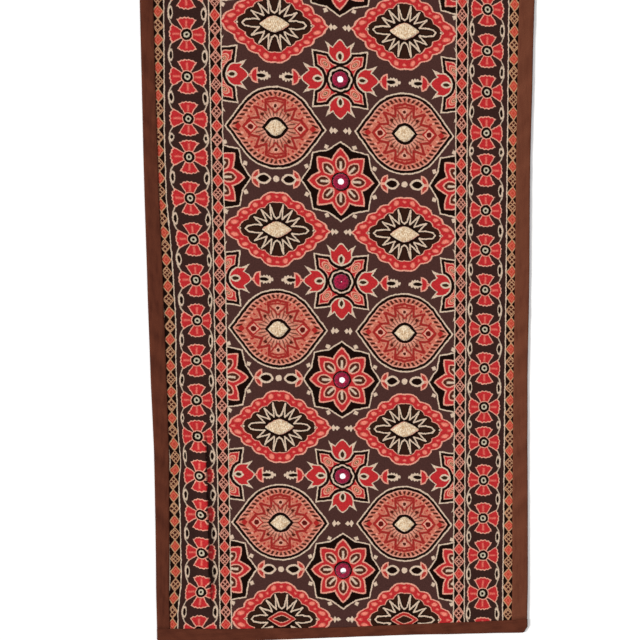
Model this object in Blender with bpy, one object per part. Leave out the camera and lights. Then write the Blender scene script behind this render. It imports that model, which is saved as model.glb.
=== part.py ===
"""Ajrakh table runner: a block-printed cotton panel bound with plain brown strips, with small sewn-on mirrors.

The runner lies flat on a table. X runs across its width, Y along its length and Z up. The origin is at the
middle of its underside. "Near" is the end at -Y and "far" is the end at +Y.
"""

import math

import bmesh
import bpy

# Driving dimensions, in metres.
WIDTH = 0.358
LENGTH = 1.524
PANEL_THICKNESS = 0.0012
STRIP_THICKNESS = 0.0006
SEWN_GAP = 0.0003
CORNER_RADIUS = 0.003
PANEL_TUCK = 0.0024
PANEL_RISE = 0.011
SEAM_MARGIN = 0.0015

# The print repeats in rows, and a mirror is sewn to the middle of each rosette.
ROW_PITCH = 0.09215
FIRST_ROSETTE_FROM_HEM = 0.0692
MIRROR_COUNT = 16
MIRROR_RADIUS = 0.0042
MIRROR_THICKNESS = 0.0008
COLLAR_OPENING_RADIUS = 0.0031
COLLAR_RADIUS = 0.0078
COLLAR_BULGE = 0.0012
COLLAR_LAP = 0.0008
COLLAR_SIDES = 14
MIRROR_SIDES = 14

# The soft pleat in the left border: a rounded ridge whose right flank drops steeply.
PLEAT_HEIGHT = 0.0030
PLEAT_X = -0.1270
PLEAT_LEAN = -0.012
PLEAT_START = 0.028
PLEAT_END = 0.215
PLEAT_LEFT_REACH = 0.013
PLEAT_RIGHT_REACH = 0.0022
PLEAT_FADE = 2.2

# How far the long edges draw in from the full width, and how wide the side strips show, by distance from
# the near hem.
SIDE_EDGES = [
    {"from_hem": 0.000, "left_inset": 0.0014, "left_strip": 0.0124, "right_inset": 0.0004, "right_strip": 0.0140},
    {"from_hem": 0.045, "left_inset": 0.0014, "left_strip": 0.0122, "right_inset": 0.0000, "right_strip": 0.0140},
    {"from_hem": 0.120, "left_inset": 0.0024, "left_strip": 0.0132, "right_inset": 0.0010, "right_strip": 0.0138},
    {"from_hem": 0.190, "left_inset": 0.0028, "left_strip": 0.0140, "right_inset": 0.0022, "right_strip": 0.0128},
    {"from_hem": 0.260, "left_inset": 0.0014, "left_strip": 0.0148, "right_inset": 0.0030, "right_strip": 0.0122},
    {"from_hem": 0.340, "left_inset": 0.0006, "left_strip": 0.0144, "right_inset": 0.0024, "right_strip": 0.0124},
    {"from_hem": 0.450, "left_inset": 0.0000, "left_strip": 0.0130, "right_inset": 0.0030, "right_strip": 0.0120},
    {"from_hem": 0.540, "left_inset": 0.0002, "left_strip": 0.0122, "right_inset": 0.0018, "right_strip": 0.0128},
    {"from_hem": 0.640, "left_inset": 0.0004, "left_strip": 0.0120, "right_inset": 0.0004, "right_strip": 0.0130},
    {"from_hem": 0.820, "left_inset": 0.0016, "left_strip": 0.0134, "right_inset": 0.0018, "right_strip": 0.0124},
    {"from_hem": 1.000, "left_inset": 0.0004, "left_strip": 0.0128, "right_inset": 0.0026, "right_strip": 0.0134},
    {"from_hem": 1.180, "left_inset": 0.0020, "left_strip": 0.0138, "right_inset": 0.0008, "right_strip": 0.0128},
    {"from_hem": 1.360, "left_inset": 0.0010, "left_strip": 0.0126, "right_inset": 0.0022, "right_strip": 0.0132},
    {"from_hem": 1.524, "left_inset": 0.0006, "left_strip": 0.0130, "right_inset": 0.0010, "right_strip": 0.0130},
]

# How far the two hems draw in from the full length, and how wide the end strips show, by place across.
END_EDGES = [
    {"across": -0.180, "near_inset": 0.0031, "near_strip": 0.0160, "far_inset": 0.0000, "far_strip": 0.0134},
    {"across": -0.090, "near_inset": 0.0031, "near_strip": 0.0126, "far_inset": 0.0008, "far_strip": 0.0126},
    {"across": 0.000, "near_inset": 0.0029, "near_strip": 0.0104, "far_inset": 0.0012, "far_strip": 0.0122},
    {"across": 0.060, "near_inset": 0.0026, "near_strip": 0.0110, "far_inset": 0.0006, "far_strip": 0.0130},
    {"across": 0.130, "near_inset": 0.0011, "near_strip": 0.0124, "far_inset": 0.0010, "far_strip": 0.0136},
    {"across": 0.180, "near_inset": 0.0000, "near_strip": 0.0140, "far_inset": 0.0018, "far_strip": 0.0130},
]

HALF_WIDTH = WIDTH / 2
HALF_LENGTH = LENGTH / 2
PANEL_LIFT = STRIP_THICKNESS + SEWN_GAP
STRIP_STACK = 2 * STRIP_THICKNESS + 2 * SEWN_GAP + PANEL_THICKNESS

# Where the panel's rows and columns of points lie: close together beside a seam and over the pleat, and far
# apart where the cloth is level. Steps are measured from the seam inwards, or from the pleat's steep flank.
SEAM_STEPS = [-0.003, SEAM_MARGIN] + [SEAM_MARGIN + PANEL_RISE * share for share in (0.35, 0.65, 1.0)]
PLEAT_STEPS = [-PLEAT_LEFT_REACH * share for share in (1.0, 0.77, 0.54, 0.35, 0.17, 0.0)]
PLEAT_STEPS += [PLEAT_RIGHT_REACH * share for share in (0.5, 1.0, 2.7)]
ACROSS_SPACING = 0.034
PLEAT_SPACING = 0.0165
LONG_SPACING = 0.062
STRIP_SPACING = 0.034
PLAIN_END_MARGIN = 0.030

# Base colours (linear), roughness and metallic value of each kind of piece.
FINISHES = {
    "printed_cotton": {"color": (0.130, 0.038, 0.030), "roughness": 0.88, "metallic": 0.0},
    "brown_cotton": {"color": (0.110, 0.036, 0.017), "roughness": 0.86, "metallic": 0.0},
    "silvered_glass": {"color": (0.900, 0.880, 0.860), "roughness": 0.06, "metallic": 1.0},
    "magenta_thread": {"color": (0.240, 0.008, 0.045), "roughness": 0.55, "metallic": 0.0},
}


def material(name):
    """A Principled material with the finish of that name, made once and then shared."""
    if name in bpy.data.materials:
        return bpy.data.materials[name]
    made = bpy.data.materials.new(name)
    made.use_nodes = True
    shader = made.node_tree.nodes["Principled BSDF"]
    shader.inputs["Base Color"].default_value = (*FINISHES[name]["color"], 1.0)
    shader.inputs["Roughness"].default_value = FINISHES[name]["roughness"]
    shader.inputs["Metallic"].default_value = FINISHES[name]["metallic"]
    return made


def finish_object(name, bm, finish, smooth_angle=None):
    """Turn a closed bmesh into a named object with its finish."""
    bmesh.ops.recalc_face_normals(bm, faces=bm.faces)
    mesh = bpy.data.meshes.new(name)
    bm.to_mesh(mesh)
    bm.free()
    mesh.materials.append(material(finish))
    if smooth_angle is not None:
        mesh.shade_smooth()
        mesh.set_sharp_from_angle(angle=math.radians(smooth_angle))
    made = bpy.data.objects.new(name, mesh)
    bpy.context.scene.collection.objects.link(made)
    return made


def ease(t):
    """Smooth step from 0 to 1 with level ends."""
    t = min(1.0, max(0.0, t))
    return t * t * (3 - 2 * t)


def read_along(table, key, column, place):
    """Read a column of a table at a place between its rows, with a smooth passage from row to row."""
    for low, high in zip(table, table[1:]):
        if place <= high[key]:
            share = ease((place - low[key]) / (high[key] - low[key]))
            return low[column] + (high[column] - low[column]) * share
    return table[-1][column]


def side_edge(side, y):
    """X of a long edge of the runner, side -1 for left and 1 for right."""
    column = "left_inset" if side < 0 else "right_inset"
    return side * (HALF_WIDTH - read_along(SIDE_EDGES, "from_hem", column, y + HALF_LENGTH))


def side_seam(side, y):
    """X of the seam where a side strip meets the print."""
    column = "left_strip" if side < 0 else "right_strip"
    return side_edge(side, y) - side * read_along(SIDE_EDGES, "from_hem", column, y + HALF_LENGTH)


def end_edge(end, x):
    """Y of a hem, end -1 for near and 1 for far, before its corners are rounded."""
    column = "near_inset" if end < 0 else "far_inset"
    return end * (HALF_LENGTH - read_along(END_EDGES, "across", column, x))


def end_seam(end, x):
    """Y of the seam where an end strip meets the print."""
    column = "near_strip" if end < 0 else "far_strip"
    return end_edge(end, x) - end * read_along(END_EDGES, "across", column, x)


def pleat_line(from_hem):
    """X of the pleat's steep flank at a distance from the near hem."""
    return PLEAT_X + PLEAT_LEAN * (from_hem - PLEAT_START)


def pleat_height(x, from_hem):
    """Height that the pleat adds: a long rounded rise on the left and a short drop on the right."""
    middle = (PLEAT_START + PLEAT_END) / 2
    half = (PLEAT_END - PLEAT_START) / 2
    fade = ease(PLEAT_FADE * (1 - abs(from_hem - middle) / half))
    past = x - pleat_line(from_hem)
    reach = PLEAT_RIGHT_REACH if past > 0 else PLEAT_LEFT_REACH
    return PLEAT_HEIGHT * fade * ease(1 - abs(past) / reach)


def panel_height(x, y):
    """Height of the panel's underside: level on the table, and lifted onto the strips' lower layers."""
    to_side = min(x - side_seam(-1, y), side_seam(1, y) - x)
    to_end = min(y - end_seam(-1, x), end_seam(1, x) - y)
    from_strip = min(to_side, to_end) - SEAM_MARGIN
    return PANEL_LIFT * (1 - ease(from_strip / PANEL_RISE)) + pleat_height(x, y + HALF_LENGTH)


def between(low, high, spacing):
    """Evenly spaced places strictly between two places, about one spacing apart."""
    steps = max(1, round((high - low) / spacing))
    return [low + (high - low) * k / steps for k in range(1, steps)]


def panel_columns(y):
    """X of each row of points across the panel at one place along it."""
    left = [side_seam(-1, y) + step for step in SEAM_STEPS]
    right = [side_seam(1, y) - step for step in reversed(SEAM_STEPS)]
    pleat = [pleat_line(min(y + HALF_LENGTH, PLEAT_END)) + step for step in PLEAT_STEPS]
    middle = between(pleat[-1], right[0], ACROSS_SPACING)
    left_rim = side_edge(-1, y) + PANEL_TUCK
    right_rim = side_edge(1, y) - PANEL_TUCK
    return [left_rim] + left + pleat + middle + right + [right_rim]


def panel_rows():
    """Rows of points along the panel, as (anchor, offset) pairs that row_place turns into places."""
    near = [("near_seam", step) for step in SEAM_STEPS]
    far = [("far_seam", step) for step in reversed(SEAM_STEPS)]
    pleat_start = PLEAT_START + SEAM_MARGIN + PANEL_RISE / 2 - HALF_LENGTH
    pleat_end = PLEAT_END - HALF_LENGTH
    plain_end = HALF_LENGTH - PLAIN_END_MARGIN
    places = [pleat_start] + between(pleat_start, pleat_end, PLEAT_SPACING) + [pleat_end]
    places += between(pleat_end, plain_end, LONG_SPACING)
    middle = [("middle", y) for y in places]
    return [("near_rim", PANEL_TUCK)] + near + middle + far + [("far_rim", PANEL_TUCK)]


def row_place(row, x):
    """Y of one of the panel's rows at a place across it."""
    anchor, offset = row
    places = {
        "near_rim": end_edge(-1, x) + offset,
        "near_seam": end_seam(-1, x) + offset,
        "middle": offset,
        "far_seam": end_seam(1, x) - offset,
        "far_rim": end_edge(1, x) - offset,
    }
    return places[anchor]


def build_panel():
    """The printed panel: a grid for each face, joined round the rim."""
    rows = panel_rows()
    bm = bmesh.new()
    faces = []
    for lift in (0.0, PANEL_THICKNESS):
        grid = []
        for row in rows:
            columns = panel_columns(row_place(row, 0.0))
            line = []
            for x in columns:
                y = row_place(row, x)
                line.append(bm.verts.new((x, y, panel_height(x, y) + lift)))
            grid.append(line)
        for low, high in zip(grid, grid[1:]):
            for k in range(len(low) - 1):
                faces.append(bm.faces.new((low[k], low[k + 1], high[k + 1], high[k])))
    rim = [edge for edge in bm.edges if edge.is_boundary]
    bmesh.ops.bridge_loops(bm, edges=rim)
    return finish_object("printed_panel", bm, "printed_cotton", smooth_angle=40)


def folded_section(outer, seam):
    """Section of a strip folded over an edge, as (place, height) points from seam to fold and back."""
    inward = 1 if seam > outer else -1
    top = STRIP_STACK
    under_top = STRIP_STACK - STRIP_THICKNESS
    fold = 2 * STRIP_THICKNESS
    return [
        (seam, top),
        (outer + inward * fold, top),
        (outer + inward * 0.25 * fold, 0.82 * top),
        (outer, 0.5 * top),
        (outer + inward * 0.25 * fold, 0.18 * top),
        (outer + inward * fold, 0.0),
        (seam, 0.0),
        (seam, STRIP_THICKNESS),
        (outer + inward * 1.25 * fold, STRIP_THICKNESS),
        (outer + inward * 0.65 * fold, 0.5 * top),
        (outer + inward * 1.25 * fold, under_top),
        (seam, under_top),
    ]


def loft(bm, rings):
    """Skin closed rings of points one after another, and close both ends."""
    loops = [[bm.verts.new(point) for point in ring] for ring in rings]
    for low, high in zip(loops, loops[1:]):
        for k in range(len(low)):
            after = (k + 1) % len(low)
            bm.faces.new((low[k], low[after], high[after], high[k]))
    bm.faces.new(loops[0])
    bm.faces.new(loops[-1])


def build_side_strip(side, name):
    """A strip folded over a long edge, ending just short of the end strips."""
    near = end_seam(-1, side_edge(side, -HALF_LENGTH)) + SEWN_GAP
    far = end_seam(1, side_edge(side, HALF_LENGTH)) - SEWN_GAP
    rings = []
    for y in [near] + between(near, far, STRIP_SPACING) + [far]:
        ring = []
        for x, z in folded_section(side_edge(side, y), side_seam(side, y)):
            start = end_seam(-1, x) + SEWN_GAP
            stop = end_seam(1, x) - SEWN_GAP
            ring.append((x, start + (stop - start) * (y - near) / (far - near), z))
        rings.append(ring)
    bm = bmesh.new()
    loft(bm, rings)
    return finish_object(name, bm, "brown_cotton", smooth_angle=50)


def rounded_corner(to_side):
    """How far a hem draws in near its corner, by the distance to the long edge."""
    short = max(0.0, CORNER_RADIUS - to_side)
    return CORNER_RADIUS - math.sqrt(CORNER_RADIUS ** 2 - short ** 2)


def build_end_strip(end, name):
    """A strip folded over a short edge, running the full width past the ends of the side strips."""
    left = side_edge(-1, end * HALF_LENGTH)
    right = side_edge(1, end * HALF_LENGTH)
    corner = [CORNER_RADIUS * share for share in (0.0, 0.12, 0.4, 1.0)]
    places = [left + step for step in corner]
    places += between(left + CORNER_RADIUS, right - CORNER_RADIUS, STRIP_SPACING)
    places += [right - step for step in reversed(corner)]
    rings = []
    for x in places:
        outer = end_edge(end, x) - end * rounded_corner(min(x - left, right - x))
        rings.append([(x, y, z) for y, z in folded_section(outer, end_seam(end, x))])
    bm = bmesh.new()
    loft(bm, rings)
    return finish_object(name, bm, "brown_cotton", smooth_angle=50)


def mirror_place(index):
    """Y of a mirror, counted from the near end."""
    return FIRST_ROSETTE_FROM_HEM + index * ROW_PITCH - HALF_LENGTH


def build_mirror(index):
    """A round mirror that lies on the panel."""
    base = PANEL_THICKNESS + SEWN_GAP
    bm = bmesh.new()
    bmesh.ops.create_cone(bm, cap_ends=True, segments=MIRROR_SIDES, radius1=MIRROR_RADIUS,
                          radius2=MIRROR_RADIUS, depth=MIRROR_THICKNESS)
    middle = base + MIRROR_THICKNESS / 2
    bmesh.ops.translate(bm, verts=bm.verts, vec=(0.0, mirror_place(index), middle))
    return finish_object(f"mirror_{index + 1:02d}", bm, "silvered_glass", smooth_angle=40)


def build_collar(index):
    """The ring of thread that holds a mirror: it lies on the cloth round it and laps over its rim."""
    base = PANEL_THICKNESS + SEWN_GAP
    lap = base + MIRROR_THICKNESS + SEWN_GAP
    seat = MIRROR_RADIUS + SEWN_GAP
    section = [
        (seat, base),
        (COLLAR_RADIUS, base),
        (0.86 * COLLAR_RADIUS, base + COLLAR_BULGE),
        (0.62 * COLLAR_RADIUS, lap + COLLAR_LAP),
        (COLLAR_OPENING_RADIUS, lap),
        (seat, lap),
    ]
    bm = bmesh.new()
    profile = [bm.verts.new((radius, 0.0, height)) for radius, height in section]
    edges = [bm.edges.new((profile[k - 1], profile[k])) for k in range(len(profile))]
    bmesh.ops.spin(bm, geom=profile + edges, cent=(0.0, 0.0, 0.0), axis=(0.0, 0.0, 1.0), angle=math.tau,
                   steps=COLLAR_SIDES, use_merge=True)
    bmesh.ops.translate(bm, verts=bm.verts, vec=(0.0, mirror_place(index), 0.0))
    return finish_object(f"mirror_collar_{index + 1:02d}", bm, "magenta_thread", smooth_angle=60)


def main():
    """Build every piece of the runner."""
    for old in list(bpy.data.objects):
        bpy.data.objects.remove(old, do_unlink=True)
    build_panel()
    build_side_strip(-1, "side_strip_left")
    build_side_strip(1, "side_strip_right")
    build_end_strip(-1, "end_strip_near")
    build_end_strip(1, "end_strip_far")
    for index in range(MIRROR_COUNT):
        build_mirror(index)
        build_collar(index)


main()
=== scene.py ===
# %% [markdown]
# # A block-printed table runner with mirror work
#
# The runner is one length of cotton, printed by hand with carved wooden blocks, bound on all four edges
# with plain brown strips. Small round mirrors are sewn to the middle of each rosette, and the almond in
# the middle of each eye motif is filled with ivory stitches.
#
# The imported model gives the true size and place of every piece. This lesson dresses it: first the camera
# and the light, then the print as a drawing made of nodes, then the cloth, the strips, the mirrors and the
# thread.

# %% Load the fixed frame
import math
import random
from functools import partial

import bmesh
import bpy
from mathutils import Euler, Matrix, Vector, noise


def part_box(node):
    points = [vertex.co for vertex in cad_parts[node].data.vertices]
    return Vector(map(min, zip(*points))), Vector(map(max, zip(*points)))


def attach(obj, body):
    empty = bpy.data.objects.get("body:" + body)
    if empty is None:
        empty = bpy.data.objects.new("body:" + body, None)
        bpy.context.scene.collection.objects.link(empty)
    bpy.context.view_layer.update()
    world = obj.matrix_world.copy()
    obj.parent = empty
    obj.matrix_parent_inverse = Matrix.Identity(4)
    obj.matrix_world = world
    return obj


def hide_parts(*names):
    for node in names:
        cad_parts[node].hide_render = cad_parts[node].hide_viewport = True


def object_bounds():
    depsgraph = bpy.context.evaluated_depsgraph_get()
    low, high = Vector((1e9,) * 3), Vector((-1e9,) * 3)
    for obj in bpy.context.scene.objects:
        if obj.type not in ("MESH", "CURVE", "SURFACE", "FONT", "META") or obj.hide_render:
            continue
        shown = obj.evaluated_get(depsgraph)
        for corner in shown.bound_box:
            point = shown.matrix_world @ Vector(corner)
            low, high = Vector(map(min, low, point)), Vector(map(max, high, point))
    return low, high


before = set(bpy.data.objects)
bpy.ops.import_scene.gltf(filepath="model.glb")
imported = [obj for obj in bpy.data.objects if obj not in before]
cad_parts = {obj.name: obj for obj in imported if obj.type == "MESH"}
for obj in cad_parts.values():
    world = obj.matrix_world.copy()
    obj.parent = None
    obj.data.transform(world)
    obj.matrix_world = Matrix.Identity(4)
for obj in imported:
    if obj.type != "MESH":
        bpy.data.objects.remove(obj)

cad_low, cad_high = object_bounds()
print("the runner measures", [round(high - low, 4) for low, high in zip(cad_low, cad_high)])

# %% [markdown]
# ## The camera
#
# The photograph was taken from above with the near hem in view. A camera could be aimed by eye, but here
# the rows of the print are a ruler: they repeat every 92 mm, so their places in the picture give the
# camera's place and its small tilts. The far half of the runner lies outside the picture.

# %% Camera
CAMERA_PLACE = (-0.0809, -0.3777, 0.824)
CAMERA_TURN = (-5.095, -4.262, -0.475)
LENS_MM = 50.0
SENSOR_MM = 36.0

camera_data = bpy.data.cameras.new("photo_view")
camera_data.lens = LENS_MM
camera_data.sensor_width = SENSOR_MM
camera_data.clip_start = 0.01
camera = bpy.data.objects.new("photo_view", camera_data)
camera.location = CAMERA_PLACE
camera.rotation_euler = Euler([math.radians(angle) for angle in CAMERA_TURN], "XYZ")
bpy.context.scene.collection.objects.link(camera)
bpy.context.scene.camera = camera
print("camera", round(camera.location.z, 3), "m above the table")

# %% [markdown]
# ## Floor and light
#
# A plain pale floor and soft light suit flat cloth: hard light would draw every thread. A wide lamp
# overhead lights the cloth evenly and shows as white in the little mirrors. Softened light from the left
# makes the pleat in the left border throw its narrow shadow to the right, as in the photograph.

# %% Floor, lamps and world
def plain_material(name, color, roughness):
    """A simple surface with one colour."""
    made = bpy.data.materials.new(name)
    made.use_nodes = True
    shader = made.node_tree.nodes["Principled BSDF"]
    shader.inputs["Base Color"].default_value = (*color, 1.0)
    shader.inputs["Roughness"].default_value = roughness
    shader.inputs["Specular IOR Level"].default_value = 0.2
    return made


FLOOR_SIZE = 12.0
FLOOR_DROP = 0.0003

bm = bmesh.new()
bmesh.ops.create_grid(bm, x_segments=1, y_segments=1, size=FLOOR_SIZE / 2)
bmesh.ops.translate(bm, verts=bm.verts, vec=(0.0, 0.0, -FLOOR_DROP))
floor_mesh = bpy.data.meshes.new("floor")
bm.to_mesh(floor_mesh)
bm.free()
floor = bpy.data.objects.new("floor", floor_mesh)
floor.data.materials.append(plain_material("pale_floor", (0.93, 0.93, 0.93), 0.8))
bpy.context.scene.collection.objects.link(floor)


VIEW_MIDDLE = Vector((0.0, -0.4, 0.0))
PURE_WHITE = (1.0, 1.0, 1.0)
WINDOW_WHITE = (1.0, 0.985, 0.965)
WORLD_STRENGTH = 0.27


def add_lamp(name, kind, place, color, **settings):
    """A soft lamp aimed at the middle of what the camera sees."""
    data = bpy.data.lights.new(name, kind)
    data.color = color
    for setting, value in settings.items():
        setattr(data, setting, value)
    lamp = bpy.data.objects.new(name, data)
    lamp.location = place
    aim = VIEW_MIDDLE - lamp.location
    lamp.rotation_euler = aim.to_track_quat("-Z", "Y").to_euler()
    lamp.visible_camera = False
    bpy.context.scene.collection.objects.link(lamp)


add_lamp("window_light", "SUN", (-1.9, 0.1, 1.65), WINDOW_WHITE, energy=2.75, angle=math.radians(12))
add_lamp("ceiling_light", "AREA", (0.0, -0.4, 2.5), PURE_WHITE, energy=33.0, size=3.2)

world = bpy.data.worlds.new("studio")
world.use_nodes = True
world.node_tree.nodes["Background"].inputs["Color"].default_value = (*PURE_WHITE, 1.0)
world.node_tree.nodes["Background"].inputs["Strength"].default_value = WORLD_STRENGTH
bpy.context.scene.world = world
bpy.context.scene.view_settings.view_transform = "Standard"

# %% [markdown]
# ## A print drawn by nodes
#
# A block print could be a picture wrapped on the cloth. Here it is a formula instead: at each point of the
# cloth, math nodes work out how far that point lies from the outlines of the motifs, and colours are laid
# over each other where it lies inside. Such a print is sharp at any distance and needs no image.
#
# Writing hundreds of Math nodes by hand would be hard to read, so the small class below lets Python write
# them. An `Ink` is a number that the nodes compute. `a + b`, `a * 2` and so on add nodes to the tree, and
# a factor or an addition with a plain number waits until it can share a Multiply Add node.

# %% Numbers that become Math nodes
drawing = {}


def add_node(kind, **settings):
    """Add a node to the material that is being drawn."""
    node = drawing["tree"].nodes.new(kind)
    for name, value in settings.items():
        setattr(node, name, value)
    return node


def feed(socket, value):
    """Give a socket a plain value, an Ink or the output of another node."""
    if isinstance(value, Ink):
        value = value.settled()
    if isinstance(value, bpy.types.NodeSocket):
        drawing["tree"].links.new(value, socket)
    else:
        socket.default_value = value


def math_node(operation, *values, clamp=False):
    """A Math node with its inputs fed, as an Ink."""
    node = add_node("ShaderNodeMath", operation=operation, use_clamp=clamp)
    for socket, value in zip(node.inputs, values):
        feed(socket, value)
    return Ink(node.outputs[0])


class Ink:
    """A number that nodes compute at each point: the socket's value times a gain, plus a lift."""

    def __init__(self, socket, gain=1.0, lift=0.0):
        self.socket = socket
        self.gain = gain
        self.lift = lift

    def settled(self):
        """The socket that holds the finished number, with its gain and lift applied."""
        if self.gain != 1.0 or self.lift != 0.0:
            self.socket = math_node("MULTIPLY_ADD", self.socket, self.gain, self.lift).socket
            self.gain = 1.0
            self.lift = 0.0
        return self.socket

    def __add__(self, other):
        if not isinstance(other, Ink):
            return Ink(self.socket, self.gain, self.lift + other)
        joined = math_node("MULTIPLY_ADD", other.socket, other.gain / self.gain, self.socket)
        return Ink(joined.socket, self.gain, self.lift + other.lift)

    def __mul__(self, other):
        if not isinstance(other, Ink):
            return Ink(self.socket, self.gain * other, self.lift * other)
        return math_node("MULTIPLY", self, other)

    def __neg__(self):
        return Ink(self.socket, -self.gain, -self.lift)

    def __sub__(self, other):
        return self + (-other)

    def __rsub__(self, other):
        return (-self) + other

    def __truediv__(self, number):
        return self * (1.0 / number)

    __radd__ = __add__
    __rmul__ = __mul__


print("an Ink works with + - and *, and with / by a plain number")

# %% [markdown]
# ## Rulers made of nodes
#
# A drawing needs a few tools: the smaller of two distances joins two shapes, the larger one keeps only
# what they share, and folding makes a mirror copy without drawing it. `Place` carries a point as a vector,
# because one Distance node then gives a circle. `stroke` measures how far a point lies from a pen line.

# %% Measures on the cloth
smaller = partial(math_node, "MINIMUM")
larger = partial(math_node, "MAXIMUM")
size = partial(math_node, "ABSOLUTE")
power = partial(math_node, "POWER")
sine = partial(math_node, "SINE")
cosine = partial(math_node, "COSINE")
angle_of = partial(math_node, "ARCTAN2")
# fold(a, span) goes back and forth like folded paper: 0 at even multiples of the span, span at odd ones.
fold = partial(math_node, "PINGPONG")
# wrap(a, span) starts again from 0 after each span.
wrap = partial(math_node, "FLOORED_MODULO")


def vector_node(operation, *values, scale=None):
    """A Vector Math node with its inputs fed."""
    node = add_node("ShaderNodeVectorMath", operation=operation)
    for socket, value in zip(node.inputs, values):
        feed(socket, value)
    if scale is not None:
        feed(node.inputs["Scale"], scale)
    return node


class Place:
    """A point of the print, measured from the middle of a motif."""

    def __init__(self, x, y):
        self.x = x
        self.y = y
        node = add_node("ShaderNodeCombineXYZ")
        feed(node.inputs[0], x)
        feed(node.inputs[1], y)
        self.socket = node.outputs[0]

    def away(self, x=0.0, y=0.0):
        """Distance from another point."""
        return Ink(vector_node("DISTANCE", self.socket, (x, y, 0.0)).outputs["Value"])


def reach(x, y):
    """Length of the slanted side that x and y span."""
    return Place(x, y).away()


def stroke(place, points):
    """Distance from a line drawn through points, run by run."""
    nearest = None
    for start, stop in zip(points, points[1:]):
        run = Vector((*stop, 0.0)) - Vector((*start, 0.0))
        offset = vector_node("SUBTRACT", place.socket, (*start, 0.0)).outputs["Vector"]
        dot = Ink(vector_node("DOT_PRODUCT", offset, tuple(run / run.length_squared)).outputs["Value"])
        share = math_node("ADD", dot, 0.0, clamp=True)
        foot = vector_node("SCALE", tuple(run), scale=share).outputs["Vector"]
        distance = Ink(vector_node("DISTANCE", offset, foot).outputs["Value"])
        nearest = distance if nearest is None else smaller(nearest, distance)
    return nearest


print("a pen line costs about 6 nodes for each of its runs")

# %% [markdown]
# ## Ink on cloth
#
# Where a distance falls below zero, a colour is laid on. A hard edge would flicker and look like plastic,
# so the mask runs from 0 to 1 over a few tenths of a millimetre, as ink does between threads. Colours are
# written as they look on screen, 0 to 255, and turned into the linear values that a shader works with. One
# factor, the depth of the dye, holds them all a little below that. `Cloth` keeps the colour so far, and each
# `lay` puts one more Mix node on top.

# %% Colours laid over each other
DYE_DEPTH = 0.86


def tone(red, green, blue):
    """A colour as seen on screen, 0 to 255, turned into the linear values that shaders use."""
    def linear(value):
        value /= 255.0
        value = value / 12.92 if value <= 0.04045 else ((value + 0.055) / 1.055) ** 2.4
        return value * DYE_DEPTH
    return (linear(red), linear(green), linear(blue), 1.0)


def inside(distance, soft=0.4):
    """A mask: 1 where a distance is below 0 and 0 above it, with an edge as soft as ink on cloth."""
    mask = Ink(distance.socket, -distance.gain / soft, 0.5 - distance.lift / soft)
    return math_node("MULTIPLY_ADD", mask.socket, mask.gain, mask.lift, clamp=True)


def paint(cloth, color, mask):
    """Lay a colour over the cloth where the mask is 1."""
    node = add_node("ShaderNodeMix", data_type="RGBA")
    feed(node.inputs[0], mask)
    feed(node.inputs[6], cloth)
    feed(node.inputs[7], color)
    return node.outputs[2]


class Cloth:
    """Cloth that takes one colour over another."""

    def __init__(self, color):
        self.color = color

    def stain(self, color, mask):
        """Lay a colour where the mask is 1."""
        self.color = paint(self.color, color, mask)

    def lay(self, color, distance, soft=0.4, share=1.0):
        """Lay a colour inside an outline."""
        self.stain(color, inside(distance, soft) * share)

    def lay_rings(self, distance, *rings):
        """Lay colours inside one outline, each its own way further in."""
        for color, inset in rings:
            self.lay(color, distance + inset)


print("mid grey, linear:", round(tone(128, 128, 128)[0], 3))

# %% [markdown]
# ## The dyes
#
# The old palette has few dyes: a plum-brown ground, iron black, madder red, and cream where a paste kept
# the dye off the cloth. The cream beside red takes some of it and turns pink.

# %% Dyes
CREAM = tone(218, 192, 168)
PINK_CREAM = tone(228, 160, 138)
RED = tone(188, 44, 47)
DEEP_RED = tone(172, 40, 38)
SOFT_RED = tone(210, 136, 113)
SALMON = tone(240, 134, 116)
WARM_RED = tone(206, 117, 96)
RUST = tone(78, 29, 19)
BLACK = tone(24, 9, 5)
DARK = tone(50, 27, 18)
PLUM = tone(74, 46, 42)
print("ground colour, linear:", [round(value, 3) for value in PLUM[:3]])

# %% [markdown]
# ## The lobed eye
#
# This motif is a pointed oval with a scalloped red rim, dots in each scallop, and a star of narrow petals
# round its stitched middle. All four quarters are alike, so it is drawn once for a quarter. The rim is a
# rounded diamond whose size swings with the angle. The petals are too uneven for a formula, so they are a
# line through a few points. All lengths in the print are millimetres.

# %% Lobed eye
PETALS = [(0.0, 9.8), (2.4, 11.6), (5.9, 22.6), (5.0, 9.3), (14.1, 17.4), (9.0, 7.0), (20.6, 10.8),
          (13.6, 3.4)]
POD = [(13.6, 3.4), (20.0, 3.6), (26.5, 2.6), (28.9, 0.0)]
DOT_SHADE = tone(158, 40, 30)


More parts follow.
